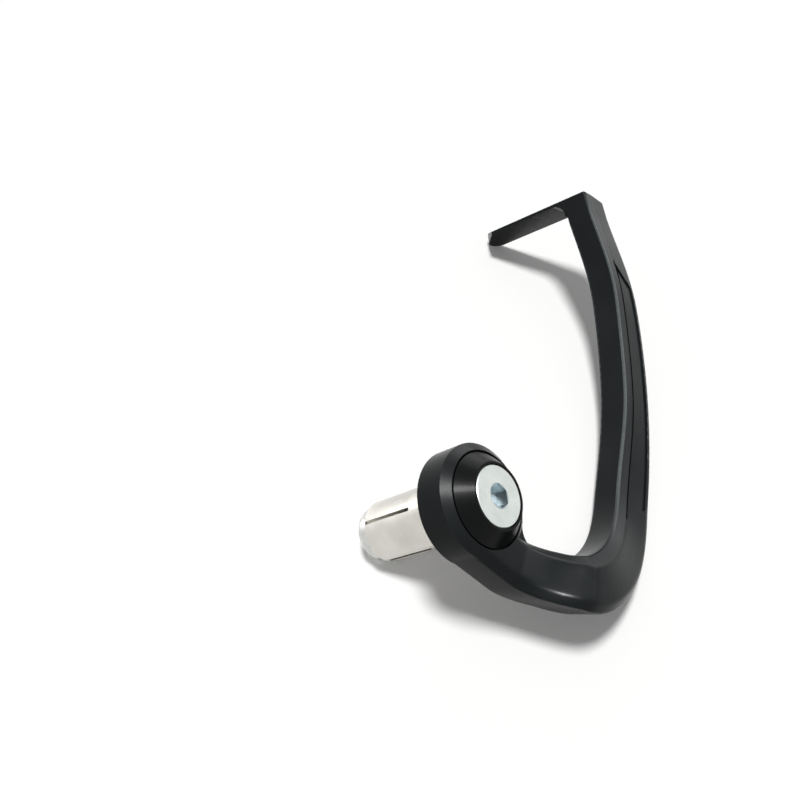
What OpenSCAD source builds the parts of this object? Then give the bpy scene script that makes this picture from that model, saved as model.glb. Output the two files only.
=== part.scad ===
// Brake lever guard for the right-hand end of a motorcycle handlebar.
// The origin is on the bar's axis, where the guard's ring butts against the end of the bar.
// +X points outboard along the bar, +Y points forward and +Z completes the frame.
// A slotted sleeve plugs into the bar, and a tapered nut on a long screw spreads it.
// The guard itself is one casting: a ring, a bowed arm round the lever's tip and a blade.

/* [Clamping screw] */
// Diameter of the countersunk head at its face
head_d = 17; // [15:0.5:18]
// Diameter of the screw's shank
shank_d = 8; // [6:0.5:9]
// Height of the head's straight rim
head_rim = 0.6; // [0.3:0.1:1]
// Width of the hexagon socket across its flats
socket_af = 6.1; // [4:0.1:8]
// Depth of the hexagon socket
socket_depth = 4; // [2:0.5:5]
// How far the screw's end stays inside the nut
shank_recess = 1; // [0.5:0.5:3]
// Chamfer round the screw's end
shank_chamfer = 0.6; // [0.3:0.1:1]
// Bevel round the head's face
head_bevel = 0.3; // [0.1:0.1:0.5]

/* [Ring] */
// Outer diameter of the ring
ring_d = 32; // [30:1:36]
// Length of the ring along the bar
ring_t = 10.2; // [8:0.2:13]
// Width of the bevel round the ring's front edge
ring_bevel_w = 2.4; // [1.5:0.1:2.8]
// Depth of that bevel along the bar
ring_bevel_d = 1.9; // [1:0.1:3]
// Width of the flat land between the bevel and the counterbore
ring_land = 0.2; // [0.1:0.1:0.8]
// Depth of the counterbore that holds the collar
counterbore_depth = 3; // [2:0.5:5]

/* [Collar] */
// Diameter of the collar's top
collar_top_d = 18.6; // [18.4:0.1:20]
// How far the collar stands proud of the ring
collar_rise = 3.9; // [3:0.1:5]
// Gap between the collar and the counterbore's wall
collar_gap = 0.5; // [0.2:0.1:0.8]

/* [Sleeve and nut] */
// Outer diameter of the sleeve
sleeve_d = 18.2; // [16:0.1:22]
// Length of the sleeve
sleeve_len = 30.4; // [26:0.2:45]
// Diameter of the sleeve's bore
sleeve_bore_d = 10; // [9.6:0.1:11]
// Chamfer round the sleeve's inner end
sleeve_chamfer = 0.9; // [0.4:0.1:1.5]
// Number of slots in the sleeve
slot_count = 4; // [2:1:6]
// Width of each slot
slot_w = 1; // [0.6:0.1:2]
// Length of each slot
slot_len = 19.5; // [12:0.5:22]
// Angle of the first slot back from straight up, in degrees
first_slot = 20; // [0:1:90]
// Largest diameter of the nut's taper
taper_big_d = 14.6; // [13:0.1:15]
// Smallest diameter of the nut's taper
taper_small_d = 10.6; // [10:0.1:11]
// Length of the nut's taper inside the sleeve
taper_len = 12; // [8:0.5:16]
// Diameter of the nut's domed head
nut_d = 16; // [15:0.1:16.4]
// Length of the nut's head beyond the sleeve
nut_head_len = 4.6; // [3:0.1:6]
// Rounding of the head's outer edge
nut_round = 2.2; // [0.5:0.1:2.4]

/* [Fits] */
// Clearance of the screw in its plain holes
hole_clear = 0.3; // [0.1:0.05:0.5]
// Gap at each seat of the screw and the nut
seat_gap = 0.15; // [0.1:0.05:0.3]

/* [Arm path] */
// Offset of the arm's root behind the bar's axis
root_back = 7.4; // [6:0.1:8]
// Straight drop from the root to the corner
drop_len = 28.9; // [26:0.1:40]
// Centre-line radius of the tight corner
corner_r = 14.1; // [12:0.1:20]
// Turn of the tight corner in degrees
corner_turn = 40.7; // [35:0.1:45]
// Centre-line radius of the bow that follows
bow_r = 48.7; // [40:0.1:60]
// Turn of the bow in degrees
bow_turn = 50.9; // [45:0.1:55]
// Centre-line radius of the long forward reach
reach_r = 200.6; // [170:0.2:260]
// Turn of the long reach in degrees
reach_turn = 33; // [28:0.5:38]

/* [Arm section] */
// Thickness of the arm at the corner, along the bar
corner_t = 12.6; // [10:0.1:14]
// Thickness of the arm along the reach
reach_t = 10.6; // [8:0.1:12]
// Thickness of the arm at the knuckle
end_t = 9.8; // [8:0.1:11]
// Distance from the centre line to the inner wall at the root
root_in = 5.8; // [5:0.1:7]
// The same at the corner
corner_in = 6.8; // [5:0.1:8]
// The same along the reach
reach_in = 6.5; // [5:0.1:8]
// The same at the knuckle
end_in = 7.3; // [6:0.1:8]
// Distance from the centre line to the outer wall at the corner
corner_out = 9.1; // [7:0.1:11]
// The same along the reach
reach_out = 7.2; // [6:0.1:8]
// The same at the knuckle
end_out = 6.5; // [5.5:0.1:8]
// How far the corner humps outboard of the ring
hump = 11.2; // [6:0.1:15]
// Length of the hump's rising ramp
ramp_len = 22.3; // [18:0.1:28]
// How far the reach's face lies outboard of the ring
reach_rise = 5.3; // [2:0.1:8]
// How far the arm's end drops back inboard
end_drop = 3.7; // [1:0.1:6]
// Dip of the front face's inner edge in the bow
face_dip = 1.9; // [0:0.1:3]
// Lift of the front face's inner edge at the arm's end
face_lift = 1.5; // [0:0.1:3]
// Width of the bevel along the arm's inner edge
inner_bevel_w = 3.6; // [2:0.1:5]
// Depth of that bevel at the corner
inner_bevel_d = 3.3; // [1:0.1:4]
// Depth of that bevel along the reach
reach_bevel_d = 0.6; // [0.3:0.1:1.5]
// Size of the rim bevel along the reach's outer edge
reach_rim = 1; // [0.6:0.1:1.8]
// How far the back of the outer wall leans in at the corner
corner_lean = 1.5; // [0.5:0.5:4]
// How far the back of the outer wall leans in at the bow
bow_lean = 7.5; // [4:0.5:8]
// How far the back of the outer wall leans in at the knuckle
end_lean = 2; // [0.5:0.5:4]
// Rounding of the arm's long edges
edge_round = 0.7; // [0.3:0.1:1]
// Radius of the web between the ring and the arm
root_fillet = 5; // [2:0.5:7]

/* [Recessed panel] */
// Depth of the panel in the arm's front face
panel_depth = 0.5; // [0.3:0.1:1]
// Margin between the panel and the arm's outer edge
panel_margin = 1.3; // [1:0.1:2]
// Distance from the bow's end back to the panel's inner start
panel_lead = 10; // [5:0.5:14]
// Distance from the panel's inner end to the knuckle
panel_tail = 21; // [16:0.5:30]
// How much shorter the panel's outer edge is at each end
panel_slant = 9; // [4:0.5:14]

/* [Blade] */
// Length of the blade from the arm's inboard face
blade_len = 44.4; // [30:0.2:60]
// Lean of the blade away from the rider in degrees
blade_cant = 7.5; // [0:0.5:12]
// Height of the blade's ridge over its inner face
ridge_h = 5.4; // [3:0.1:7]
// Distance from the blade's upper edge to its ridge
ridge_in = 8.8; // [7:0.1:10]
// Thickness of the blade's upper edge
upper_lip = 1.2; // [1:0.1:2.5]
// Thickness of the blade's lower edge
lower_lip = 0.8; // [0.5:0.1:2]
// Length that the clipped corner takes off the upper edge
tip_clip = 8.5; // [5:0.1:14]
// Radius of the blade's lower tip
tip_r = 4; // [2:0.1:5]
// Fillet inside the knuckle
knuckle_fillet = 5.5; // [1.5:0.1:6]
// Length of the knuckle beyond the reach's last arc
knuckle_len = 9.3; // [6:0.1:14]
// Radius of the scoop in the knuckle's outer corner
scoop_r = 10; // [8:0.1:14]
// Distance from the arm's front face out to the scoop's axis
scoop_out = 4.5; // [3:0.1:7]
// Distance from the blade's inner face ahead to the scoop's axis
scoop_ahead = 7.5; // [6:0.1:10]
// Tilt of the scoop towards the blade's lower edge in degrees
scoop_tilt = 14; // [0:1:20]

/* [Hidden] */
$fn = 96;
OVERCUT = 1;
MERGE = 0.01;

// Ring and clamp, measured along the bar's axis
ring_r = ring_d / 2;
counterbore_r = ring_r - ring_bevel_w - ring_land;
counterbore_x = ring_t - counterbore_depth;
face_x = ring_t + collar_rise;
head_r = head_d / 2;
shank_r = shank_d / 2;
bolt_hole_r = shank_r + hole_clear;
head_cone_h = head_r - shank_r;
head_h = head_rim + head_cone_h;
nut_end_x = -sleeve_len - nut_head_len;
shank_end_x = nut_end_x + shank_recess;

// Arm path as a list of arcs: the length of each and the angle that it turns
root_dir = -88.3;
tail_len = knuckle_len + 2 * ridge_h;
function arc_len(r, turn) = r * turn * PI / 180;
ARCS = [
    [drop_len, 0],
    [arc_len(corner_r, corner_turn), corner_turn],
    [arc_len(bow_r, bow_turn), bow_turn],
    [arc_len(reach_r, reach_turn), reach_turn],
    [tail_len, 0]
];
corner_s = ARCS[0][0] + ARCS[1][0];
bow_s = corner_s + ARCS[2][0];
arm_s = bow_s + ARCS[3][0];
root_point = [-root_back, 0];

// Outer wall at the root, a little inside the ring so that the two run into each other
ROOT_INSET = 0.1;
root_out = ring_r - root_back - ROOT_INSET;

// Point reached from p with heading h after a stretch that turns by the angle turn
function arc_end(p, h, length, turn) =
    turn == 0
        ? p + length * [cos(h), sin(h)]
        : p + length * 180 / (PI * turn) * [sin(h + turn) - sin(h), cos(h) - cos(h + turn)];

// Place and heading at the distance s along the arm: [y, z, heading]
function walk(s, i = 0, p = root_point, h = root_dir) =
    let (length = ARCS[i][0], turn = ARCS[i][1])
    s > length && i < len(ARCS) - 1
        ? walk(s - length, i + 1, arc_end(p, h, length, turn), h + turn)
        : let (q = arc_end(p, h, s, turn * s / length)) [q[0], q[1], h + turn * s / length];

// Smooth step from 0 at a to 1 at b
function ease(v, a, b) =
    let (u = min(1, max(0, (v - a) / (b - a)))) u * u * (3 - 2 * u);
function blend(a, b, u) = a + (b - a) * u;

// Point on the arm's cross-section plane at s, n outward from the centre line
function across(s, n) =
    let (c = walk(s)) [c[0] + n * sin(c[2]), c[1] - n * cos(c[2])];

// Value that runs from the root to the corner, then the reach, then the knuckle
KNUCKLE_BLEND = 45;
function along(s, root, corner, reach, end) =
    root
    + (corner - root) * ease(s, ring_r, drop_len)
    + (reach - corner) * ease(s, corner_s, bow_s)
    + (end - reach) * ease(s, arm_s - KNUCKLE_BLEND, arm_s);
function inner_n(s) = -along(s, root_in, corner_in, reach_in, end_in);
function outer_n(s) = along(s, root_out, corner_out, reach_out, end_out);
function thickness(s) = along(s, ring_t, corner_t, reach_t, end_t);
function rim_w(s) = along(s, ring_bevel_w, ring_bevel_w, reach_rim, reach_rim);
function rim_d(s) = along(s, ring_bevel_d, ring_bevel_d, reach_rim, reach_rim);
function bevel_w(s) = along(s, ring_bevel_w, inner_bevel_w, inner_bevel_w, inner_bevel_w);
function bevel_d(s) = along(s, ring_bevel_d, inner_bevel_d, reach_bevel_d, reach_bevel_d);
function lean(s) = along(s, 0, corner_lean, bow_lean, end_lean);

// Distance past the value 0, growing softly from a little before it
RAMP_SOFT = 5;
function past(v) =
    v <= -RAMP_SOFT ? 0
    : v >= RAMP_SOFT ? v
    : pow(v + RAMP_SOFT, 2) / (4 * RAMP_SOFT);

// Height of the front face at the outer edge: the ramp follows the depth below the bar
RAMP_SKEW = 0.8;
HUMP_LAP = 3;
DROP_LEAD = 37;
DROP_LAG = 8;
function front_outer(s, z) =
    ring_t
    + hump * ease(RAMP_SKEW * past(s - drop_len) - z, ring_r, ring_r + ramp_len)
    + (reach_rise - hump) * ease(s, corner_s - HUMP_LAP, bow_s + HUMP_LAP)
    - end_drop * ease(s, arm_s - DROP_LEAD, arm_s + DROP_LAG);

// Offset of the front face's inner edge from its outer edge
DIP_HOLD = 5;
DIP_FADE = 35;
LIFT_LEN = 60;
dip_end = bow_s + DIP_HOLD;
function inner_offset(s) =
    - face_dip * ease(s, corner_s, bow_s) * (1 - ease(s, dip_end, dip_end + DIP_FADE))
    + face_lift * ease(s, arm_s - LIFT_LEN, arm_s);
function front_x(s, n) =
    let (share = (outer_n(s) - n) / (outer_n(s) - inner_n(s)))
    front_outer(s, across(s, n)[1]) + inner_offset(s) * share;
function back_x(s) =
    front_outer(s, across(s, 0)[1]) + inner_offset(s) / 2 - thickness(s);

// Outline of the section at s, each point as [n, x], inner back corner first
FACE_STEPS = 4;
function section(s) =
    let (
        back = back_x(s),
        inner = inner_n(s),
        outer = outer_n(s),
        bevel_n = inner + bevel_w(s),
        rim_n = outer - rim_w(s)
    )
    [
        [inner, back],
        [inner, front_x(s, inner) - bevel_d(s)],
        for (k = [0 : FACE_STEPS])
            let (n = blend(bevel_n, rim_n, k / FACE_STEPS))
            [n, front_x(s, n)],
        [outer, front_x(s, outer) - rim_d(s)],
        [outer - lean(s), back]
    ];

// Points inside the front face, which stay as they are when the corners are rounded
FACE_START = 2;
function on_face(i) = i > FACE_START && i < FACE_START + FACE_STEPS;

// Rounds each corner of a section with a short parabola
ROUND_STEPS = 2;
MOST_OF_EDGE = 0.4;
function toward(p, q, d) = p + (q - p) * min(MOST_OF_EDGE, d / norm(q - p));
function parabola(a, p, b, u) = (1 - u) * (1 - u) * a + 2 * u * (1 - u) * p + u * u * b;
function rounded(outline, d) =
    let (count = len(outline))
    [
        for (i = [0 : count - 1])
            let (
                p = outline[i],
                a = toward(p, outline[(i + count - 1) % count], d),
                b = toward(p, outline[(i + 1) % count], d)
            )
            each on_face(i)
                ? [p]
                : [for (k = [0 : ROUND_STEPS]) parabola(a, p, b, k / ROUND_STEPS)]
    ];

// Places an outline of [n, x] points on the section plane at s
function placed(outline, s) =
    [for (p = outline) let (q = across(s, p[0])) [p[1], q[0], q[1]]];

// Skin through a list of rings that all have the same number of points
module skin(rings) {
    count = len(rings[0]);
    last = len(rings) - 1;
    points = [for (ring = rings) each ring];
    sides = [
        for (i = [0 : last - 1])
            for (j = [0 : count - 1])
                let (
                    a = i * count + j,
                    b = i * count + (j + 1) % count,
                    c = a + count,
                    d = b + count
                )
                each [[a, d, b], [a, c, d]]
    ];
    first_cap = [for (j = [0 : count - 1]) j];
    last_cap = [for (j = [0 : count - 1]) last * count + count - 1 - j];
    polyhedron(points, concat(sides, [first_cap, last_cap]), convexity = 8);
}

// Distances along the arm: close together in the hump, wider apart along the reach
HUMP_STEP = 1.3;
REACH_STEP = 3.6;
hump_stations = floor(bow_s / HUMP_STEP);
reach_stations = ceil((arm_s - bow_s) / REACH_STEP);
STATIONS = concat(
    [for (i = [0 : hump_stations]) bow_s * i / hump_stations],
    [for (i = [1 : reach_stations]) bow_s + (arm_s - bow_s) * i / reach_stations],
    [arm_s + tail_len]
);

module arm_skin() {
    skin([for (s = STATIONS) placed(rounded(section(s), edge_round), s)]);
}

// Shallow panel whose two ends run diagonally across the front face
PANEL_STEPS = 34;
panel_from = bow_s - panel_lead;
panel_to = arm_s - panel_tail;
function panel_ring(u) =
    let (
        inner_s = blend(panel_from, panel_to, u),
        outer_s = blend(panel_from + panel_slant, panel_to - panel_slant, u),
        near_n = inner_n(inner_s) + bevel_w(inner_s) + MERGE,
        far_n = outer_n(outer_s) - rim_w(outer_s) - panel_margin,
        near_p = across(inner_s, near_n),
        far_p = across(outer_s, far_n),
        near_x = front_x(inner_s, near_n),
        far_x = front_x(outer_s, far_n)
    )
    [
        [near_x - panel_depth, near_p[0], near_p[1]],
        [near_x + OVERCUT, near_p[0], near_p[1]],
        [far_x + OVERCUT, far_p[0], far_p[1]],
        [far_x - panel_depth, far_p[0], far_p[1]]
    ];
module panel_pocket() {
    skin([for (i = [0 : PANEL_STEPS]) panel_ring(i / PANEL_STEPS)]);
}

// Frame at the arm's end: Y along the arm, Z towards its inner side
module at_arm_end() {
    last = walk(arm_s);
    translate([0, last[0], last[1]])
        rotate([last[2], 0, 0])
            children();
}

// Frame on the blade's inner face: X outboard, Y out of the face, Z to the upper edge
end_back_x = back_x(arm_s);
module on_blade() {
    at_arm_end()
        translate([end_back_x, knuckle_len, 0])
            rotate([0, 0, -blade_cant])
                children();
}

// Section of the blade: an inner face and two facets that meet in the ridge
blade_w = end_in + end_out;
FACETS = [[upper_lip, end_in], [ridge_h, end_in - ridge_in], [lower_lip, -end_out]];
module along_bar(from, to) {
    translate([from, 0, 0])
        rotate([90, 0, 90])
            linear_extrude(to - from)
                children();
}

// Outline of the blade seen from in front of it
tip_x = -blade_len;
tip_centre = [tip_x + tip_r, -end_out + tip_r];
clip_start = [tip_x + tip_clip, end_in];
clip_run = clip_start - tip_centre;
clip_dir = atan2(clip_run[1], clip_run[0]) + acos(tip_r / norm(clip_run));
clip_end = tip_centre + tip_r * [cos(clip_dir), sin(clip_dir)];
module blade_outline() {
    polygon([
        [end_t / 2, end_in],
        clip_start,
        clip_end,
        tip_centre,
        [tip_centre[0], -end_out],
        [end_t / 2, -end_out]
    ]);
    translate(tip_centre)
        circle(tip_r);
}

module blade() {
    on_blade()
        intersection() {
            along_bar(tip_x, end_t / 2)
                polygon(concat([[0, -end_out], [0, end_in]], FACETS));
            rotate([90, 0, 0])
                translate([0, 0, -ridge_h - OVERCUT])
                    linear_extrude(ridge_h + 2 * OVERCUT)
                        blade_outline();
        }
}

// Everything beyond the blade's two facets, cut off the arm's straight tail
module beyond_blade() {
    far = tail_len + 2 * end_t;
    on_blade()
        along_bar(-end_t, 3 * end_t)
            polygon(concat(
                [[upper_lip, blade_w]],
                FACETS,
                [[lower_lip, -blade_w], [far, -blade_w], [far, blade_w]]
            ));
}

// Fillet between the arm's back and the blade's inner face
module knuckle_web() {
    r = knuckle_fillet;
    on_blade()
        translate([0, 0, -end_out])
            linear_extrude(blade_w)
                difference() {
                    translate([-r, -r])
                        square([r + edge_round, r + MERGE]);
                    translate([-r, -r])
                        circle(r);
                }
}

// Concave scoop in the knuckle's outer corner, leaning towards the lower edge
module scoop() {
    at_arm_end()
        translate([front_x(arm_s, 0) + scoop_out, knuckle_len + scoop_ahead, 0])
            rotate([0, scoop_tilt, 0])
                cylinder(h = 4 * blade_w, r = scoop_r, center = true);
}

// Web between the ring and the arm's inner wall
root_s = ring_r;
wall_y = across(root_s, inner_n(root_s))[0];
web_y = wall_y + root_fillet;
web_z = -sqrt(pow(ring_r + root_fillet, 2) - web_y * web_y);
module root_web() {
    along_bar(0, ring_t - ring_bevel_d)
        difference() {
            polygon([
                [wall_y - OVERCUT, web_z],
                [wall_y - OVERCUT, 0],
                [web_y, 0],
                [web_y, web_z]
            ]);
            translate([web_y, web_z])
                circle(root_fillet);
            circle(ring_r - OVERCUT);
        }
}

module ring_body() {
    rotate([0, 90, 0]) {
        cylinder(h = ring_t - ring_bevel_d, r = ring_r);
        translate([0, 0, ring_t - ring_bevel_d])
            cylinder(h = ring_bevel_d, r1 = ring_r, r2 = ring_r - ring_bevel_w);
    }
}

module bar_cylinder(from, to, r) {
    translate([from, 0, 0])
        rotate([0, 90, 0])
            cylinder(h = to - from, r = r);
}

module guard_arm() {
    color("#202122")
        difference() {
            union() {
                difference() {
                    arm_skin();
                    panel_pocket();
                    beyond_blade();
                }
                blade();
                knuckle_web();
                ring_body();
                root_web();
            }
            scoop();
            bar_cylinder(counterbore_x, ring_t + hump, counterbore_r);
            bar_cylinder(-OVERCUT, ring_t, bolt_hole_r);
        }
}

// Revolves a profile of [radius, x] points about the bar's axis
module about_bar() {
    rotate([90, 0, 90])
        rotate_extrude()
            children();
}

module seat_collar() {
    outer_r = counterbore_r - collar_gap;
    seat_r = head_r + seat_gap;
    seat_x = face_x - head_rim - seat_gap;
    hole_r = bolt_hole_r;
    color("#0c0d0f")
        about_bar()
            polygon([
                [hole_r, counterbore_x],
                [outer_r, counterbore_x],
                [outer_r, ring_t],
                [collar_top_d / 2, face_x],
                [seat_r, face_x],
                [seat_r, seat_x],
                [hole_r, seat_x - (seat_r - hole_r)]
            ]);
}

module clamp_screw() {
    color("#d9dcde")
        difference() {
            about_bar()
                polygon([
                    [0, shank_end_x],
                    [shank_r - shank_chamfer, shank_end_x],
                    [shank_r, shank_end_x + shank_chamfer],
                    [shank_r, face_x - head_h],
                    [head_r, face_x - head_rim],
                    [head_r, face_x - head_bevel],
                    [head_r - head_bevel, face_x],
                    [0, face_x]
                ]);
            translate([face_x - socket_depth, 0, 0])
                rotate([0, 90, 0])
                    cylinder(h = socket_depth + OVERCUT, d = socket_af / cos(30), $fn = 6);
        }
}

// Radius of the nut's taper at a given distance inside the sleeve
function taper_r(depth) = blend(taper_big_d, taper_small_d, depth / taper_len) / 2;
bore_depth = taper_len * (taper_big_d / 2 + seat_gap - sleeve_bore_d / 2)
    / ((taper_big_d - taper_small_d) / 2);

module expander_sleeve() {
    sleeve_r = sleeve_d / 2;
    color("#c9cac8")
        difference() {
            about_bar()
                polygon([
                    [sleeve_bore_d / 2, 0],
                    [sleeve_bore_d / 2, -sleeve_len + bore_depth],
                    [taper_big_d / 2 + seat_gap, -sleeve_len],
                    [sleeve_r - sleeve_chamfer, -sleeve_len],
                    [sleeve_r, -sleeve_len + sleeve_chamfer],
                    [sleeve_r, 0]
                ]);
            for (i = [0 : slot_count - 1])
                rotate([first_slot + 360 * i / slot_count, 0, 0])
                    translate([-sleeve_len - OVERCUT, -slot_w / 2, 0])
                        cube([slot_len + OVERCUT, slot_w, sleeve_r + OVERCUT]);
        }
}

module cone_nut() {
    thread_r = shank_r + seat_gap;
    nut_r = nut_d / 2;
    round_centre = [nut_r - nut_round, nut_end_x + nut_round];
    color("#b9bcbf")
        about_bar()
            difference() {
                polygon([
                    [thread_r, -sleeve_len + taper_len],
                    [taper_r(taper_len), -sleeve_len + taper_len],
                    [taper_r(0), -sleeve_len],
                    [taper_r(0), -sleeve_len - seat_gap],
                    [nut_r, -sleeve_len - seat_gap],
                    [nut_r, nut_end_x],
                    [thread_r, nut_end_x]
                ]);
                difference() {
                    translate([round_centre[0], nut_end_x - OVERCUT])
                        square([nut_round + OVERCUT, nut_round + OVERCUT]);
                    translate(round_centre)
                        circle(nut_round);
                }
            }
}

guard_arm();
seat_collar();
clamp_screw();
expander_sleeve();
cone_nut();
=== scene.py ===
# %% [markdown]
# # A brake lever guard
# This guard bolts to the right-hand end of a motorcycle's handlebar.
# Its bowed arm keeps anything that passes from pushing the brake lever in.
# The solids come ready made, at their real size, so this notebook dresses them.
# It sets the camera, rests the guard on a table, and gives each piece its finish.

# %% Load the guard's solids
import bmesh
import bpy
from mathutils import Matrix, Vector


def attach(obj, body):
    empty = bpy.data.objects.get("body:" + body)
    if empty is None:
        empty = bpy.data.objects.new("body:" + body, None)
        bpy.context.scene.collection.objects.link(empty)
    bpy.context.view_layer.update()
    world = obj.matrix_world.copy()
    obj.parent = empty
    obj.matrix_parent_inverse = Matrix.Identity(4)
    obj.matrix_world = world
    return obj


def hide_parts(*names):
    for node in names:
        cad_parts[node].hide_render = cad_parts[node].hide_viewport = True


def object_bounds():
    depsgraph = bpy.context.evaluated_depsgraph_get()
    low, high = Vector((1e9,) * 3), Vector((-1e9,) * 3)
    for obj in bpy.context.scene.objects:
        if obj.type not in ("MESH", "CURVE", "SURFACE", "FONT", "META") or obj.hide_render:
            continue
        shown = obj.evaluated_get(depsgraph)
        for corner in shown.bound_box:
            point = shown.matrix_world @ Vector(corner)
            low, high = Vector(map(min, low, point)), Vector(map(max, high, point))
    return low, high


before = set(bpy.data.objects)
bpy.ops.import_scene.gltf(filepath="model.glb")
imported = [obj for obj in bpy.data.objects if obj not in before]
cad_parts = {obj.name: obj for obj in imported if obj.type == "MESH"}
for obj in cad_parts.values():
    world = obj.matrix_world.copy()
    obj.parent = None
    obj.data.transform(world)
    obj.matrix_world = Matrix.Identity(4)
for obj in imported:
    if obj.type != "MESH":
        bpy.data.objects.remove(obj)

MM = 0.001
BODY = "root"
bpy.context.scene.view_settings.view_transform = "Standard"
cad_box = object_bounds()
print("solids:", ", ".join(sorted(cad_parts)))

# %% [markdown]
# ## Camera
# The photograph looks down on the guard from over its outboard end, at about 28 cm.
# A camera is placed here with the directions of its own right and down axes.
# Two directions fix the whole turn, because the third is square to both of them.

# %% Place the camera where the photographer stood
camera_place = Vector((144.2, -119.3, 114.5)) * MM
view_right = Vector((0.6686, 0.2856, -0.6865)).normalized()
view_down = Vector((-0.3175, -0.7252, -0.6109)).normalized()
view_ahead = view_right.cross(view_down).normalized()
FRAME_PX = 800
FOCAL_PX = 802.6
SENSOR_MM = 36.0
NEAREST_SEEN = 10 * MM

camera_data = bpy.data.cameras.new("photo_camera")
camera_data.sensor_width = SENSOR_MM
camera_data.lens = SENSOR_MM * FOCAL_PX / FRAME_PX
camera_data.clip_start = NEAREST_SEEN
camera = bpy.data.objects.new("photo_camera", camera_data)
turn = Matrix((view_right, -view_down, -view_ahead)).transposed()
camera.matrix_world = Matrix.Translation(camera_place) @ turn.to_4x4()
bpy.context.scene.collection.objects.link(camera)
bpy.context.scene.camera = camera
print("lens:", round(camera_data.lens, 2), "mm")

# %% [markdown]
# ## Table
# A loose guard lies on three points: the nut, the bottom of the bow and the blade's tip.
# The frame belongs to the handlebar, so here the table is tilted instead of the guard.
# The table slides along its own upward direction until it touches the lowest point.

# %% Find the table's height
table_up = Vector((0.753, 0.0395, 0.6568)).normalized()
points = [vertex.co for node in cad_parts.values() for vertex in node.data.vertices]
table_height = min(table_up.dot(point) for point in points)
guard_middle = (Vector(cad_box[0]) + Vector(cad_box[1])) / 2
print("table height along its own up:", round(table_height / MM, 2), "mm")

# %% [markdown]
# ## Shader tools
# A finish is a small network of nodes. These helpers add a node and join two sockets,
# so that each material further down reads as a list of what feeds what.

# %% Helpers for node trees
def add_node(tree, kind, **settings):
    node = tree.nodes.new(kind)
    for name, value in settings.items():
        setattr(node, name, value)
    return node


def join(tree, output, target):
    tree.links.new(output, target)


def new_material(name):
    material = bpy.data.materials.new(name)
    material.use_nodes = True
    tree = material.node_tree
    shader = tree.nodes["Principled BSDF"]
    place = add_node(tree, "ShaderNodeTexCoord").outputs["Object"]
    return material, tree, shader, place


# %% [markdown]
# Paint, plating and turned metal all vary a little from place to place.
# One node group makes that variation, and each finish sets its own scale and spread.
# A group has named inputs, so that nobody has to open it to use it.

# %% Group: uneven finish
PATCH_DETAIL = 4
GRAIN_DETAIL = 2
NOISE_LOW = 0.3
NOISE_HIGH = 0.7


def uneven_group():
    tree = bpy.data.node_groups.new("uneven_finish", "ShaderNodeTree")
    face = tree.interface
    face.new_socket("Vector", in_out="INPUT", socket_type="NodeSocketVector")
    face.new_socket("Patch Scale", in_out="INPUT", socket_type="NodeSocketFloat")
    face.new_socket("Grain Scale", in_out="INPUT", socket_type="NodeSocketFloat")
    face.new_socket("Low", in_out="INPUT", socket_type="NodeSocketFloat")
    face.new_socket("High", in_out="INPUT", socket_type="NodeSocketFloat")
    face.new_socket("Roughness", in_out="OUTPUT", socket_type="NodeSocketFloat")
    face.new_socket("Patches", in_out="OUTPUT", socket_type="NodeSocketFloat")
    face.new_socket("Grain", in_out="OUTPUT", socket_type="NodeSocketFloat")
    start = add_node(tree, "NodeGroupInput")
    end = add_node(tree, "NodeGroupOutput")
    patches = add_node(tree, "ShaderNodeTexNoise")
    patches.inputs["Detail"].default_value = PATCH_DETAIL
    grain = add_node(tree, "ShaderNodeTexNoise")
    grain.inputs["Detail"].default_value = GRAIN_DETAIL
    for texture, scale in ((patches, "Patch Scale"), (grain, "Grain Scale")):
        join(tree, start.outputs["Vector"], texture.inputs["Vector"])
        join(tree, start.outputs[scale], texture.inputs["Scale"])
    spread = add_node(tree, "ShaderNodeMapRange")
    spread.inputs["From Min"].default_value = NOISE_LOW
    spread.inputs["From Max"].default_value = NOISE_HIGH
    join(tree, patches.outputs["Fac"], spread.inputs["Value"])
    join(tree, start.outputs["Low"], spread.inputs["To Min"])
    join(tree, start.outputs["High"], spread.inputs["To Max"])
    join(tree, spread.outputs["Result"], end.inputs["Roughness"])
    join(tree, patches.outputs["Fac"], end.inputs["Patches"])
    join(tree, grain.outputs["Fac"], end.inputs["Grain"])
    return tree


uneven_finish = uneven_group()
print("group:", uneven_finish.name)


# %% Use the group in a material
def add_uneven(tree, place, shader, patch_scale, grain_scale, low, high):
    group = add_node(tree, "ShaderNodeGroup", node_tree=uneven_finish)
    join(tree, place, group.inputs["Vector"])
    group.inputs["Patch Scale"].default_value = patch_scale
    group.inputs["Grain Scale"].default_value = grain_scale
    group.inputs["Low"].default_value = low
    group.inputs["High"].default_value = high
    join(tree, group.outputs["Roughness"], shader.inputs["Roughness"])
    return group


def add_bump(tree, height, shader, strength, depth):
    bump = add_node(tree, "ShaderNodeBump")
    bump.inputs["Strength"].default_value = strength
    bump.inputs["Distance"].default_value = depth
    join(tree, height, bump.inputs["Height"])
    join(tree, bump.outputs["Normal"], shader.inputs["Normal"])
    return bump


def add_colours(tree, factor, dark, pale, low=NOISE_LOW, high=NOISE_HIGH):
    ramp = add_node(tree, "ShaderNodeValToRGB")
    stops = ((low, dark), (high, pale))
    for element, (position, colour) in zip(ramp.color_ramp.elements, stops):
        element.position = position
        element.color = (*colour, 1)
    join(tree, factor, ramp.inputs["Fac"])
    return ramp.outputs["Color"]


# A Mix node has sockets of the same name for each kind of value, so colours go by number.
COLOUR_A = 6
COLOUR_B = 7
MIXED_COLOUR = 2


def mix_colours(tree, share, colour, other):
    mix = add_node(tree, "ShaderNodeMix", data_type="RGBA")
    join(tree, share, mix.inputs["Factor"])
    join(tree, colour, mix.inputs[COLOUR_A])
    mix.inputs[COLOUR_B].default_value = (*other, 1)
    return mix.outputs[MIXED_COLOUR]


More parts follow.
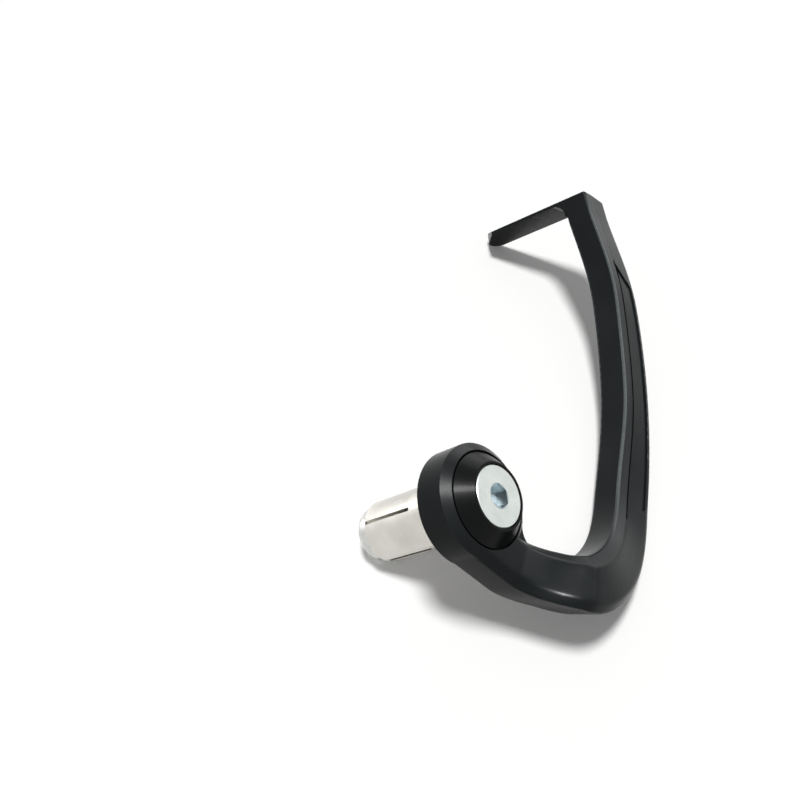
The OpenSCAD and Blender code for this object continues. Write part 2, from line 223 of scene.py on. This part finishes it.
# %% [markdown]
# ## Satin black coat
# The arm is cast metal under a thin satin black coat. Its colour is almost nothing:
# what the eye sees is the pale room, mirrored weakly and blurred by the coat's fine grain.
# So the colour stays very dark, and the roughness and a shallow bump do the work.
# Along the long edges a speckled grey line is put into the colour: a painted highlight where the
# rounding catches the light.
# Their faces are marked further down, and here an Attribute node reads the mark.

# %% Finish of the casting
EDGE_LINE = "edge_line"
# Grey of the painted highlight along the long edges, speckled by the grain.
EDGE_HIGHLIGHT_GREY = (0.025, 0.028, 0.029)
SPECKLE_FROM = 0.42
SPECKLE_TO = 0.62
SPECKLE_LEAST = 0.6


def black_casting():
    material, tree, shader, place = new_material("satin_black_coat")
    uneven = add_uneven(tree, place, shader, 60, 2600, 0.22, 0.31)
    dark, pale = (0.0011, 0.0015, 0.0017), (0.0020, 0.0025, 0.0027)
    colour = add_colours(tree, uneven.outputs["Patches"], dark, pale)
    edges = add_node(tree, "ShaderNodeAttribute", attribute_name=EDGE_LINE)
    speckle = add_node(tree, "ShaderNodeMapRange", clamp=True)
    speckle.inputs["From Min"].default_value = SPECKLE_FROM
    speckle.inputs["From Max"].default_value = SPECKLE_TO
    speckle.inputs["To Min"].default_value = SPECKLE_LEAST
    join(tree, uneven.outputs["Grain"], speckle.inputs["Value"])
    # Painted highlight: the marked edge strips get the speckled pale grey in their colour.
    painted_highlight = add_node(tree, "ShaderNodeMath", operation="MULTIPLY")
    join(tree, edges.outputs["Fac"], painted_highlight.inputs[0])
    join(tree, speckle.outputs["Result"], painted_highlight.inputs[1])
    coat = mix_colours(tree, painted_highlight.outputs["Value"], colour, EDGE_HIGHLIGHT_GREY)
    join(tree, coat, shader.inputs["Base Color"])
    shader.inputs["IOR"].default_value = 1.5
    shader.inputs["Specular IOR Level"].default_value = 0.10
    add_bump(tree, uneven.outputs["Grain"], shader, 0.12, 0.00005)
    return material


# %% [markdown]
# ## Gloss black collar
# The collar under the screw's head is smoother than the arm. A thin clear coat over a black
# base gives it some depth, and faint patches keep it from looking flat.

# %% Finish of the collar
def gloss_black():
    material, tree, shader, place = new_material("gloss_black")
    uneven = add_uneven(tree, place, shader, 120, 1800, 0.3, 0.4)
    dark, pale = (0.0016, 0.0019, 0.0022), (0.0030, 0.0034, 0.0038)
    colour = add_colours(tree, uneven.outputs["Patches"], dark, pale)
    join(tree, colour, shader.inputs["Base Color"])
    shader.inputs["IOR"].default_value = 1.5
    shader.inputs["Specular IOR Level"].default_value = 0.08
    shader.inputs["Coat Weight"].default_value = 0.03
    shader.inputs["Coat Roughness"].default_value = 0.12
    add_bump(tree, uneven.outputs["Grain"], shader, 0.04, 0.00003)
    return material


# %% [markdown]
# ## Metals
# The screw, the sleeve and the nut are bare or plated metal.
# A lathe leaves fine rings round each of them, square to the bar's axis.
# Rings are bands along X, so a wave texture in that direction draws them as a bump.
# At a scale of 1 that texture draws about 3.2 bands in each unit of length.

# %% Rings left by the lathe
BANDS_PER_SCALE = 3.2
RING_WOBBLE = 1.5
RING_DETAIL = 2
GRAIN_SHARE = 0.35


def add_turned_rings(tree, place, shader, ring_pitch, grain, strength, depth):
    wave = add_node(tree, "ShaderNodeTexWave", bands_direction="X")
    wave.inputs["Scale"].default_value = 1 / ring_pitch / BANDS_PER_SCALE
    wave.inputs["Distortion"].default_value = RING_WOBBLE
    wave.inputs["Detail"].default_value = RING_DETAIL
    join(tree, place, wave.inputs["Vector"])
    mix = add_node(tree, "ShaderNodeMix", data_type="FLOAT")
    mix.inputs["Factor"].default_value = GRAIN_SHARE
    join(tree, wave.outputs["Fac"], mix.inputs["A"])
    join(tree, grain, mix.inputs["B"])
    add_bump(tree, mix.outputs["Result"], shader, strength, depth)


# %% [markdown]
# The screw's head is plated almost white. Its hexagon socket is coloured darker and blue-grey,
# as painted shade in the recess. The distance from the bar's axis tells the two apart.

# %% Finish of the screw
SOCKET_REACH = 3.6 * MM
SOCKET_RIM = 0.15 * MM
# Painted shade: the colour inside the hexagon socket.
SOCKET_SHADE_GREY = (0.40, 0.45, 0.47)


def from_axis(tree, place):
    axes = add_node(tree, "ShaderNodeSeparateXYZ")
    join(tree, place, axes.inputs["Vector"])
    flat = add_node(tree, "ShaderNodeCombineXYZ")
    join(tree, axes.outputs["Y"], flat.inputs["Y"])
    join(tree, axes.outputs["Z"], flat.inputs["Z"])
    length = add_node(tree, "ShaderNodeVectorMath", operation="LENGTH")
    join(tree, flat.outputs["Vector"], length.inputs["Vector"])
    return length.outputs["Value"]


def pale_steel():
    material, tree, shader, place = new_material("pale_steel")
    uneven = add_uneven(tree, place, shader, 220, 2400, 0.3, 0.42)
    dark, pale = (0.62, 0.66, 0.63), (0.72, 0.76, 0.73)
    plating = add_colours(tree, uneven.outputs["Patches"], dark, pale)
    inside = add_node(tree, "ShaderNodeMapRange", clamp=True)
    inside.inputs["From Min"].default_value = SOCKET_REACH
    inside.inputs["From Max"].default_value = SOCKET_REACH - SOCKET_RIM
    join(tree, from_axis(tree, place), inside.inputs["Value"])
    colour = mix_colours(tree, inside.outputs["Result"], plating, SOCKET_SHADE_GREY)
    join(tree, colour, shader.inputs["Base Color"])
    shader.inputs["Metallic"].default_value = 1
    add_bump(tree, uneven.outputs["Grain"], shader, 0.1, 0.00004)
    return material


# %% Finish of the sleeve
def satin_aluminium():
    material, tree, shader, place = new_material("satin_aluminium")
    uneven = add_uneven(tree, place, shader, 90, 1500, 0.24, 0.36)
    dark, pale = (0.50, 0.485, 0.45), (0.66, 0.645, 0.60)
    colour = add_colours(tree, uneven.outputs["Patches"], dark, pale, 0.25, 0.75)
    join(tree, colour, shader.inputs["Base Color"])
    shader.inputs["Metallic"].default_value = 1
    shader.inputs["Anisotropic"].default_value = 0.6
    around = add_node(tree, "ShaderNodeTangent", direction_type="RADIAL", axis="X")
    join(tree, around.outputs["Tangent"], shader.inputs["Tangent"])
    ring_pitch = 0.25 * MM
    add_turned_rings(tree, place, shader, ring_pitch, uneven.outputs["Grain"], 0.1, 0.00003)
    return material


# %% Finish of the nut
def bright_steel():
    material, tree, shader, place = new_material("bright_steel")
    uneven = add_uneven(tree, place, shader, 320, 1200, 0.2, 0.38)
    dark, pale = (0.42, 0.42, 0.41), (0.66, 0.66, 0.64)
    colour = add_colours(tree, uneven.outputs["Patches"], dark, pale)
    join(tree, colour, shader.inputs["Base Color"])
    shader.inputs["Metallic"].default_value = 1
    ring_pitch = 0.2 * MM
    add_turned_rings(tree, place, shader, ring_pitch, uneven.outputs["Grain"], 0.12, 0.00003)
    return material


# %% Make the finishes
finishes = {
    "guard_arm": black_casting(),
    "seat_collar": gloss_black(),
    "clamp_screw": pale_steel(),
    "expander_sleeve": satin_aluminium(),
    "cone_nut": bright_steel(),
}
for name, material in finishes.items():
    print(name, "gets", material.name)

# %% [markdown]
# ## Smooth skins
# The solids arrive as separate triangles, each with its own corners, so light breaks at
# every one of them. A Geometry Nodes tree welds the corners, softens the shading where two
# faces meet at a slight angle and keeps a crisp line at a real edge.
# The same tree serves every piece, and its inputs say how much to weld and what is an edge.

# %% Tree: weld and smooth
def smooth_skin_tree():
    tree = bpy.data.node_groups.new("smooth_skin", "GeometryNodeTree")
    face = tree.interface
    face.new_socket("Geometry", in_out="INPUT", socket_type="NodeSocketGeometry")
    face.new_socket("Weld Distance", in_out="INPUT", socket_type="NodeSocketFloat")
    face.new_socket("Edge Angle", in_out="INPUT", socket_type="NodeSocketFloat")
    face.new_socket("Finish", in_out="INPUT", socket_type="NodeSocketMaterial")
    face.new_socket("Geometry", in_out="OUTPUT", socket_type="NodeSocketGeometry")
    start = add_node(tree, "NodeGroupInput")
    end = add_node(tree, "NodeGroupOutput")
    weld = add_node(tree, "GeometryNodeMergeByDistance")
    join(tree, start.outputs["Geometry"], weld.inputs["Geometry"])
    join(tree, start.outputs["Weld Distance"], weld.inputs["Distance"])
    angle = add_node(tree, "GeometryNodeInputMeshEdgeAngle")
    sharp = add_node(tree, "FunctionNodeCompare", data_type="FLOAT", operation="GREATER_THAN")
    join(tree, angle.outputs["Unsigned Angle"], sharp.inputs["A"])
    join(tree, start.outputs["Edge Angle"], sharp.inputs["B"])
    soft_faces = add_node(tree, "GeometryNodeSetShadeSmooth", domain="FACE")
    soft_faces.inputs["Shade Smooth"].default_value = True
    join(tree, weld.outputs["Geometry"], soft_faces.inputs["Geometry"])
    crisp = add_node(tree, "GeometryNodeSetShadeSmooth", domain="EDGE")
    crisp.inputs["Shade Smooth"].default_value = False
    join(tree, soft_faces.outputs["Geometry"], crisp.inputs["Geometry"])
    join(tree, sharp.outputs["Result"], crisp.inputs["Selection"])
    whole = add_node(tree, "GeometryNodeRealizeInstances")
    join(tree, crisp.outputs["Geometry"], whole.inputs["Geometry"])
    finish = add_node(tree, "GeometryNodeSetMaterial")
    join(tree, whole.outputs["Geometry"], finish.inputs["Geometry"])
    join(tree, start.outputs["Finish"], finish.inputs["Material"])
    join(tree, finish.outputs["Geometry"], end.inputs["Geometry"])
    return tree


smooth_skin = smooth_skin_tree()
print("tree:", smooth_skin.name)


# %% [markdown]
# A modifier runs the tree on a copy of the solid. Its inputs are set by their identifiers.
# A second one lets broad faces decide the shading, so that they stay flat and the narrow
# rounding between them catches the light as a thin bright line.
# The finished mesh replaces the copy's own, so nothing is left to work out later.

# %% Dress a solid with a smooth skin
BROAD_FACE_WEIGHT = 100


def set_input(modifier, name, value):
    for item in modifier.node_group.interface.items_tree:
        if item.item_type == "SOCKET" and item.in_out == "INPUT" and item.name == name:
            modifier[item.identifier] = value


def keep_result(piece):
    graph = bpy.context.evaluated_depsgraph_get()
    done = bpy.data.meshes.new_from_object(piece.evaluated_get(graph))
    started_as = piece.data
    piece.modifiers.clear()
    piece.data = done
    bpy.data.meshes.remove(started_as)


def smooth_copy(node_name, material, weld, edge_angle):
    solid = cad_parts[node_name]
    mesh = bpy.data.meshes.new(node_name + "_raw")
    corners = [vertex.co.copy() for vertex in solid.data.vertices]
    triangles = [tuple(face.vertices) for face in solid.data.polygons]
    mesh.from_pydata(corners, [], triangles)
    mesh.materials.append(material)
    piece = bpy.data.objects.new(node_name + "_skin", mesh)
    bpy.context.scene.collection.objects.link(piece)
    modifier = piece.modifiers.new("smooth_skin", "NODES")
    modifier.node_group = smooth_skin
    set_input(modifier, "Weld Distance", weld)
    set_input(modifier, "Edge Angle", edge_angle)
    set_input(modifier, "Finish", material)
    broad = piece.modifiers.new("broad_faces_first", "WEIGHTED_NORMAL")
    broad.keep_sharp = True
    broad.weight = BROAD_FACE_WEIGHT
    keep_result(piece)
    return piece


# %% [markdown]
# The rounding along an edge is a strip of narrow faces. Each one is marked with a number
# on the face, so that the finish paints its highlight line on the strip and not on the broad faces
# beside it.
# Only the long arm has such lines in the photograph. So the number grows from nothing near
# the drop to one further along the arm, and the ring and the drop have none.

# %% Mark the narrow faces along the edges
STRIP_WIDTH = 0.6 * MM
STRIP_TURN = 0.12
LINES_FROM = 12 * MM
LINES_FULL = 40 * MM
SHARP_TURN = 0.9


def is_edge_strip(face):
    longest = max(edge.calc_length() for edge in face.edges)
    if 2 * face.calc_area() / longest > STRIP_WIDTH:
        return False
    long_edges = [
        edge
        for edge in face.edges
        if edge.calc_length() > longest / 2 and len(edge.link_faces) == 2
    ]
    if any(edge.calc_face_angle() > SHARP_TURN for edge in long_edges):
        return False
    return any(edge.is_convex and edge.calc_face_angle() > STRIP_TURN for edge in long_edges)


def line_strength(face):
    reach = face.calc_center_median().y
    rise = (reach - LINES_FROM) / (LINES_FULL - LINES_FROM)
    return min(max(rise, 0.0), 1.0) if is_edge_strip(face) else 0.0


def mark_edges(mesh):
    shape = bmesh.new()
    shape.from_mesh(mesh)
    marks = [line_strength(face) for face in shape.faces]
    shape.free()
    attribute = mesh.attributes.new(EDGE_LINE, "FLOAT", "FACE")
    attribute.data.foreach_set("value", marks)
    return sum(mark > 0 for mark in marks)


# %% Smooth every piece
WELD = 0.002 * MM
EDGE_ANGLE = 0.6
for name, material in finishes.items():
    piece = smooth_copy(name, material, WELD, EDGE_ANGLE)
    marked = mark_edges(piece.data)
    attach(piece, BODY)
    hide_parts(name)
    print(piece.name, "has", len(piece.data.polygons), "faces,", marked, "on its edges")

# %% [markdown]
# ## Painted shadow line beside the panel
# A fine dark line runs along the long arm, where the recessed panel meets the inner bevel: a painted
# shadow of that shallow step.
# It follows the panel's own edge, so the edge is looked up in the arm's mesh: it is sharp,
# it lies on the long reach, and the little wall under it faces away from the lever.
# Geometry Nodes turn those edges into a curve and sweep a thin round line along it.

# %% Find the panel's inner edge
REACH_FROM = 20 * MM
REACH_TO = 132 * MM
LEVER_MIDDLE = Vector((0, 70, 20)) * MM


def is_panel_edge(edge):
    if len(edge.link_faces) != 2 or not edge.is_convex:
        return False
    if edge.calc_face_angle() < SHARP_TURN:
        return False
    middle = (edge.verts[0].co + edge.verts[1].co) / 2
    wall = min(edge.link_faces, key=lambda face: abs(face.normal.x))
    faces_out = wall.normal.dot(middle - LEVER_MIDDLE) > 0
    return REACH_FROM < middle.y < REACH_TO and faces_out


def panel_edge_mesh(mesh):
    shape = bmesh.new()
    shape.from_mesh(mesh)
    others = [edge for edge in shape.edges if not is_panel_edge(edge)]
    bmesh.ops.delete(shape, geom=others, context="EDGES")
    loose = [vertex for vertex in shape.verts if not vertex.link_edges]
    bmesh.ops.delete(shape, geom=loose, context="VERTS")
    edge_mesh = bpy.data.meshes.new("panel_edge")
    shape.to_mesh(edge_mesh)
    shape.free()
    return edge_mesh


# %% Tree: sweep a thin line along edges
def thin_line_tree():
    tree = bpy.data.node_groups.new("thin_line", "GeometryNodeTree")
    face = tree.interface
    face.new_socket("Geometry", in_out="INPUT", socket_type="NodeSocketGeometry")
    face.new_socket("Line Radius", in_out="INPUT", socket_type="NodeSocketFloat")
    face.new_socket("Sides", in_out="INPUT", socket_type="NodeSocketInt")
    face.new_socket("Finish", in_out="INPUT", socket_type="NodeSocketMaterial")
    face.new_socket("Geometry", in_out="OUTPUT", socket_type="NodeSocketGeometry")
    start = add_node(tree, "NodeGroupInput")
    end = add_node(tree, "NodeGroupOutput")
    path = add_node(tree, "GeometryNodeMeshToCurve")
    join(tree, start.outputs["Geometry"], path.inputs["Mesh"])
    ring = add_node(tree, "GeometryNodeCurvePrimitiveCircle")
    join(tree, start.outputs["Line Radius"], ring.inputs["Radius"])
    join(tree, start.outputs["Sides"], ring.inputs["Resolution"])
    sweep = add_node(tree, "GeometryNodeCurveToMesh")
    sweep.inputs["Fill Caps"].default_value = True
    join(tree, path.outputs["Curve"], sweep.inputs["Curve"])
    join(tree, ring.outputs["Curve"], sweep.inputs["Profile Curve"])
    whole = add_node(tree, "GeometryNodeRealizeInstances")
    join(tree, sweep.outputs["Mesh"], whole.inputs["Geometry"])
    finish = add_node(tree, "GeometryNodeSetMaterial")
    join(tree, whole.outputs["Geometry"], finish.inputs["Geometry"])
    join(tree, start.outputs["Finish"], finish.inputs["Material"])
    join(tree, finish.outputs["Geometry"], end.inputs["Geometry"])
    return tree


# %% Finish of the painted shadow line
def shadow_line_black():
    material, tree, shader, place = new_material("shadow_line_black")
    uneven = add_uneven(tree, place, shader, 200, 2600, 0.7, 0.9)
    dark, pale = (0.0008, 0.0009, 0.0010), (0.0020, 0.0022, 0.0024)
    colour = add_colours(tree, uneven.outputs["Grain"], dark, pale)
    join(tree, colour, shader.inputs["Base Color"])
    shader.inputs["Specular IOR Level"].default_value = 0.05
    return material


# %% Draw the painted shadow line
LINE_RADIUS = 0.22 * MM
LINE_SIDES = 6
# A matte black cord along the step stands in for the shade there: a painted shadow line.
line = bpy.data.objects.new(
    "panel_shadow_line", panel_edge_mesh(bpy.data.objects["guard_arm_skin"].data)
)
bpy.context.scene.collection.objects.link(line)
modifier = line.modifiers.new("thin_line", "NODES")
modifier.node_group = thin_line_tree()
set_input(modifier, "Line Radius", LINE_RADIUS)
set_input(modifier, "Sides", LINE_SIDES)
set_input(modifier, "Finish", shadow_line_black())
keep_result(line)
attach(line, BODY)
print(line.name, "has", len(line.data.polygons), "faces")

# %% [markdown]
# ## Light and background
# The photograph has a pure white background with one soft shadow to the left and below.
# One broad lamp from behind on the right throws that shadow, and an even pale room fills it.
# The Light Path node makes the table and the room look white to the camera and in
# reflections, so the background is white without more plain light on the guard.

# %% Rays that see the white background
def white_for_viewer(tree):
    path = add_node(tree, "ShaderNodeLightPath")
    total = None
    for name in ("Is Camera Ray", "Is Glossy Ray", "Is Transmission Ray"):
        if total is None:
            total = path.outputs[name]
            continue
        both = add_node(tree, "ShaderNodeMath", operation="MAXIMUM")
        join(tree, total, both.inputs[0])
        join(tree, path.outputs[name], both.inputs[1])
        total = both.outputs["Value"]
    return total


# %% Table
TABLE_HALF = 2.0
TABLE_GLOW = 0.1
TABLE_WHITE = (0.92, 0.92, 0.91)
side = table_up.cross(Vector((0, 1, 0))).normalized()
along = table_up.cross(side)
centre = guard_middle + table_up * (table_height - table_up.dot(guard_middle))
table_mesh = bpy.data.meshes.new("table")
rim = [centre + TABLE_HALF * (a * side + b * along) for a, b in ((-1, -1), (1, -1), (1, 1), (-1, 1))]
table_mesh.from_pydata(rim, [], [(3, 2, 1, 0)])
table = bpy.data.objects.new("table", table_mesh)
bpy.context.scene.collection.objects.link(table)

table_material = bpy.data.materials.new("pale_table")
table_material.use_nodes = True
tree = table_material.node_tree
tree.nodes.clear()
paint = add_node(tree, "ShaderNodeBsdfDiffuse")
paint.inputs["Color"].default_value = (*TABLE_WHITE, 1)
glow = add_node(tree, "ShaderNodeEmission")
strength = add_node(tree, "ShaderNodeMath", operation="MULTIPLY")
strength.inputs[1].default_value = TABLE_GLOW
join(tree, white_for_viewer(tree), strength.inputs[0])
join(tree, strength.outputs["Value"], glow.inputs["Strength"])
both = add_node(tree, "ShaderNodeAddShader")
join(tree, paint.outputs["BSDF"], both.inputs[0])
join(tree, glow.outputs["Emission"], both.inputs[1])
join(tree, both.outputs["Shader"], add_node(tree, "ShaderNodeOutputMaterial").inputs["Surface"])
table_mesh.materials.append(table_material)

# %% Pale room
ROOM_FILL = 0.2
world = bpy.data.worlds.new("pale_room")
bpy.context.scene.world = world
world.use_nodes = True
tree = world.node_tree
tree.nodes.clear()
fill = add_node(tree, "ShaderNodeBackground")
fill.inputs["Strength"].default_value = ROOM_FILL
seen = add_node(tree, "ShaderNodeBackground")
for shade in (fill, seen):
    shade.inputs["Color"].default_value = (1, 1, 1, 1)
choose = add_node(tree, "ShaderNodeMixShader")
join(tree, white_for_viewer(tree), choose.inputs["Fac"])
join(tree, fill.outputs["Background"], choose.inputs[1])
join(tree, seen.outputs["Background"], choose.inputs[2])
join(tree, choose.outputs["Shader"], add_node(tree, "ShaderNodeOutputWorld").inputs["Surface"])

# %% Broad lamp
lamp_from = Vector((0.67, 0.02, 0.74)).normalized()
LAMP_STRENGTH = 2.52
LAMP_SPREAD = 0.22


def add_sun(name, strength):
    data = bpy.data.lights.new(name, "SUN")
    data.energy = strength
    data.angle = LAMP_SPREAD
    sun = bpy.data.objects.new(name, data)
    sun.matrix_world = lamp_from.to_track_quat("Z", "Y").to_matrix().to_4x4()
    bpy.context.scene.collection.objects.link(sun)
    return sun


add_sun("broad_lamp", LAMP_STRENGTH)
print("lamp over the table:", round(lamp_from.dot(table_up), 2))

# %% [markdown]
# Three weaker lamps stand around the guard, where its faces mirror them: one behind on the
# right for the arm's front face, one straight ahead for the ring's bevel and the collar, and
# one on the left for the sleeve and the nut. They are wide panels, and each of them lights
# only the pieces named with it, so the table keeps its shadows. The camera can't see them.

# %% Wide panels
PANEL_DISTANCE = 1.2
PANEL_WIDE = 1.1
PANEL_HIGH = 0.9


def light_only(lamp, lit_pieces):
    lit = bpy.data.collections.new(lamp.name + "_lights")
    for piece in lit_pieces:
        lit.objects.link(bpy.data.objects[piece + "_skin"])
    lamp.light_linking.receiver_collection = lit


def add_panel(name, direction, watts, lit_pieces):
    data = bpy.data.lights.new(name, "AREA")
    data.shape = "RECTANGLE"
    data.size = PANEL_WIDE
    data.size_y = PANEL_HIGH
    data.energy = watts
    panel = bpy.data.objects.new(name, data)
    facing = direction.normalized()
    turn = facing.to_track_quat("Z", "Y").to_matrix().to_4x4()
    panel.matrix_world = Matrix.Translation(guard_middle + facing * PANEL_DISTANCE) @ turn
    panel.visible_camera = False
    bpy.context.scene.collection.objects.link(panel)
    light_only(panel, lit_pieces)
    print(name, "over the table:", round(facing.dot(table_up), 2))


add_panel("back_panel", Vector((0.6, 0.7, -0.03)), 7.0, ["guard_arm"])
add_panel("ring_panel", Vector((0.15, 0.95, 0.20)), 4.0, ["guard_arm", "seat_collar"])
add_panel("left_panel", Vector((-0.42, 0.35, 0.84)), 18.0, ["expander_sleeve", "cone_nut"])

# %% [markdown]
# The casting mirrors the lamp more strongly than its low specular level allows. A second
# lamp from the same side lights the arm alone and brings its glints back.

# %% Glints on the casting
GLINT_STRENGTH = 14.0
glint = add_sun("glint", GLINT_STRENGTH)
light_only(glint, ["guard_arm"])
